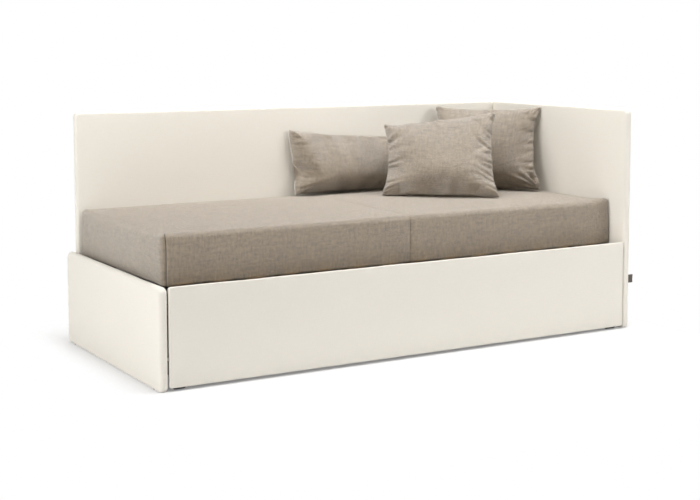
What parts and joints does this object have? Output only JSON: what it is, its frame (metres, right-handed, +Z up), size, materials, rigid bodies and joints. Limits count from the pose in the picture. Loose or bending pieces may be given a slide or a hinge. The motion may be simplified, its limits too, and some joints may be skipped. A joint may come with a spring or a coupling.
{
  "type": "sofa bed",
  "caption": "Single sofa bed with a tall padded corner backrest, a low padded base, loose pillows and a second bed on castors that pulls out from under the mattress.",
  "frame": {"origin": "on the floor, at the middle of the footprint", "axes": "+X along the bed to the headboard, +Y to the back panel, +Z up; the bed pulls out along -Y"},
  "size_m": [2.106, 0.94, 0.908],
  "materials": {
    "ivory_upholstery": "matte woven upholstery",
    "panel_board": "raw particle board",
    "taupe_linen": "slubbed linen weave",
    "pillow_linen": "slubbed linen weave",
    "mattress_filling": "foam, booked as fabric",
    "ticking": "quilted ticking",
    "frame_steel": "satin powder coat",
    "zinc_steel": "zinc plated",
    "slat_birch": "clear lacquered birch",
    "black_plastic": "moulded, matte",
    "castor_rubber": "matte",
    "shoe_nylon": "moulded nylon",
    "tab_fabric": "woven tape"
  },
  "bodies": {
    "sofa_frame": {"foot_panel_board": "panel_board", "foot_panel_cover": "ivory_upholstery", "headboard_board": "panel_board", "headboard_cover": "ivory_upholstery", "back_panel_board": "panel_board", "back_panel_cover": "ivory_upholstery", "foot_panel_glides": "black_plastic", "headboard_glides": "black_plastic", "back_panel_glides": "black_plastic", "foot_corner_brackets": "zinc_steel", "head_corner_brackets": "zinc_steel", "corner_bracket_screws": "zinc_steel", "foot_rail_brackets": "zinc_steel", "head_rail_brackets": "zinc_steel", "back_rail_brackets": "zinc_steel", "rail_bracket_screws": "zinc_steel", "rail_bolts": "zinc_steel", "base_front_rail": "frame_steel", "base_rear_rail": "frame_steel", "base_foot_rail": "frame_steel", "base_head_rail": "frame_steel", "base_slats": "slat_birch", "base_slat_cradles": "black_plastic", "guide_channel_foot": "zinc_steel", "guide_channel_head": "zinc_steel", "guide_channel_screws": "zinc_steel", "mattress_core": "mattress_filling", "mattress_cover": "taupe_linen", "label_tab": "tab_fabric"},
    "pull_out_bed": {"front_panel_board": "panel_board", "front_panel_cover": "ivory_upholstery", "front_panel_uprights": "frame_steel", "upright_screws": "zinc_steel", "pull_out_front_rail": "frame_steel", "pull_out_rear_rail": "frame_steel", "pull_out_foot_rail": "frame_steel", "pull_out_head_rail": "frame_steel", "pull_out_slats": "slat_birch", "pull_out_slat_cradles": "black_plastic", "guide_shoe_foot": "shoe_nylon", "guide_shoe_head": "shoe_nylon", "shoe_screws": "zinc_steel", "castor_axles": "zinc_steel", "castor_bolts": "zinc_steel", "pull_out_mattress_core": "mattress_filling", "pull_out_mattress_cover": "ticking", "front_foot_castor_bracket": "zinc_steel", "front_head_castor_bracket": "zinc_steel", "rear_foot_castor_bracket": "zinc_steel", "rear_head_castor_bracket": "zinc_steel"},
    "front_foot_castor": {"front_foot_castor_wheel": "castor_rubber"},
    "front_head_castor": {"front_head_castor_wheel": "castor_rubber"},
    "rear_foot_castor": {"rear_foot_castor_wheel": "castor_rubber"},
    "rear_head_castor": {"rear_head_castor_wheel": "castor_rubber"},
    "lumbar_pillow_body": {"lumbar_pillow": "pillow_linen"},
    "front_pillow_body": {"front_pillow": "pillow_linen"},
    "corner_pillow_body": {"corner_pillow": "pillow_linen"}
  },
  "joints": [
    {"name": "pull_out_slide", "type": "slide", "parent": "sofa_frame", "child": "pull_out_bed", "axis": [0, -1, 0], "range_m": [0, 0.74]},
    {"name": "front_foot_castor_roll", "type": "hinge", "parent": "pull_out_bed", "child": "front_foot_castor", "pos_m": [-0.963, -0.44, 0.02], "axis": [1, 0, 0], "range_deg": [0, 2120]},
    {"name": "front_head_castor_roll", "type": "hinge", "parent": "pull_out_bed", "child": "front_head_castor", "pos_m": [0.963, -0.44, 0.02], "axis": [1, 0, 0], "range_deg": [0, 2120]},
    {"name": "rear_foot_castor_roll", "type": "hinge", "parent": "pull_out_bed", "child": "rear_foot_castor", "pos_m": [-0.963, 0.348, 0.02], "axis": [1, 0, 0], "range_deg": [0, 2120]},
    {"name": "rear_head_castor_roll", "type": "hinge", "parent": "pull_out_bed", "child": "rear_head_castor", "pos_m": [0.963, 0.348, 0.02], "axis": [1, 0, 0], "range_deg": [0, 2120]},
    {"name": "lumbar_pillow_lift", "type": "slide", "parent": "sofa_frame", "child": "lumbar_pillow_body", "axis": [0, 0, 1], "range_m": [0, 0.4]},
    {"name": "front_pillow_lift", "type": "slide", "parent": "sofa_frame", "child": "front_pillow_body", "axis": [0, 0, 1], "range_m": [0, 0.4]},
    {"name": "corner_pillow_lift", "type": "slide", "parent": "sofa_frame", "child": "corner_pillow_body", "axis": [0, 0, 1], "range_m": [0, 0.4]}
  ],
  "couplings": [
    {"joint": "front_foot_castor_roll", "follows": "pull_out_slide", "rad_per_m": 50},
    {"joint": "front_head_castor_roll", "follows": "pull_out_slide", "rad_per_m": 50},
    {"joint": "rear_foot_castor_roll", "follows": "pull_out_slide", "rad_per_m": 50},
    {"joint": "rear_head_castor_roll", "follows": "pull_out_slide", "rad_per_m": 50}
  ]
}
